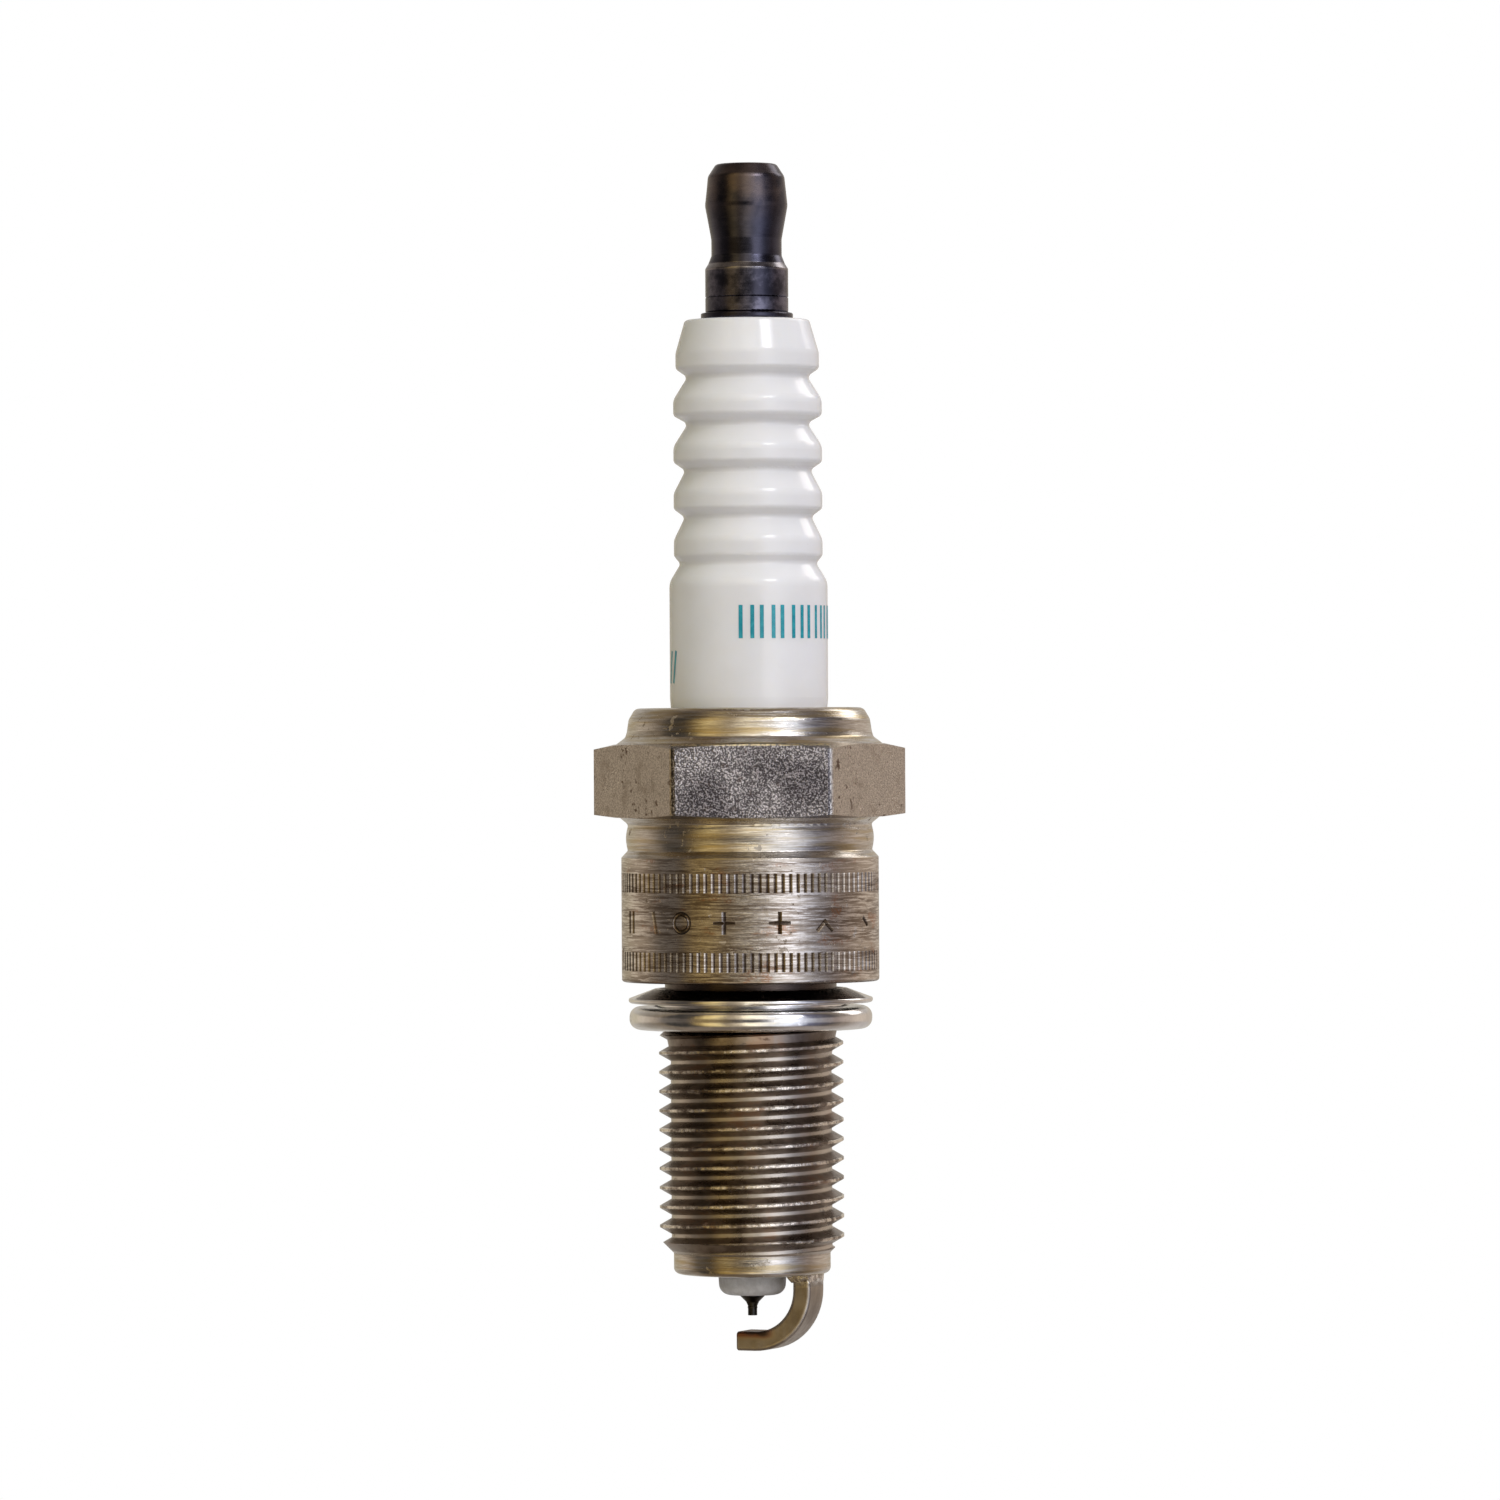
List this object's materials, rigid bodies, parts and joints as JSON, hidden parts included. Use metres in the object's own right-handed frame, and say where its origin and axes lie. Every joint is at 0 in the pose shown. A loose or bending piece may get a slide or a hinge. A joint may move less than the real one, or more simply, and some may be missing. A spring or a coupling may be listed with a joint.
{
  "type": "spark plug",
  "caption": "Motorcycle spark plug with a ribbed white insulator, hexagonal steel shell, threaded end, loose gasket, fine centre tip and screw-on terminal nut.",
  "frame": {"origin": "on the plug's axis, at the shell's gasket seat face, where the thread reach is measured from", "axes": "+Z along the plug's axis towards the terminal; +X across two corners of the hexagon; +Y out of the flat opposite the front flat"},
  "size_m": [0.0202, 0.0178, 0.0772],
  "materials": {
    "nickel_plated_steel": "satin nickel plate with warm tint",
    "gasket_steel": "bright",
    "glazed_alumina": "glossy white glaze",
    "nickel_alloy": "dull nickel alloy with heat tint",
    "iridium_alloy": "dark precious metal",
    "copper": "bare copper",
    "seal_glass": "fired conductive glass",
    "resistor_compound": "fired carbon and glass compound",
    "talc": "pressed powder",
    "soft_steel": "plain",
    "plated_terminal": "glossy black plating"
  },
  "bodies": {
    "plug": {"metal_shell": "nickel_plated_steel", "ground_electrode": "nickel_alloy", "ground_electrode_weld": "nickel_alloy", "insulator": "glazed_alumina", "lower_packing_ring": "soft_steel", "lower_wire_ring": "soft_steel", "talc_fill": "talc", "upper_wire_ring": "soft_steel", "centre_electrode": "nickel_alloy", "centre_electrode_core": "copper", "tip_weld": "iridium_alloy", "iridium_tip": "iridium_alloy", "lower_glass_seal": "seal_glass", "resistor": "resistor_compound", "upper_glass_seal": "seal_glass", "terminal_stud": "soft_steel"},
    "gasket": {"gasket": "gasket_steel"},
    "terminal_carrier": {"terminal_nut_washer": "plated_terminal"},
    "terminal_nut": {"terminal_nut": "plated_terminal"}
  },
  "joints": [
    {"name": "gasket_float", "type": "slide", "parent": "plug", "child": "gasket", "axis": [0, 0, 1], "range_m": [0, 0.00044]},
    {"name": "terminal_nut_lift", "type": "slide", "parent": "plug", "child": "terminal_carrier", "axis": [0, 0, 1], "range_m": [0, 0.0084]},
    {"name": "terminal_nut_turn", "type": "hinge", "parent": "terminal_carrier", "child": "terminal_nut", "pos_m": [0, 0, 0.04349], "axis": [0, 0, 1], "range_deg": [0, 4321]}
  ],
  "couplings": [
    {"joint": "terminal_nut_turn", "follows": "terminal_nut_lift", "rad_per_m": 8976}
  ]
}
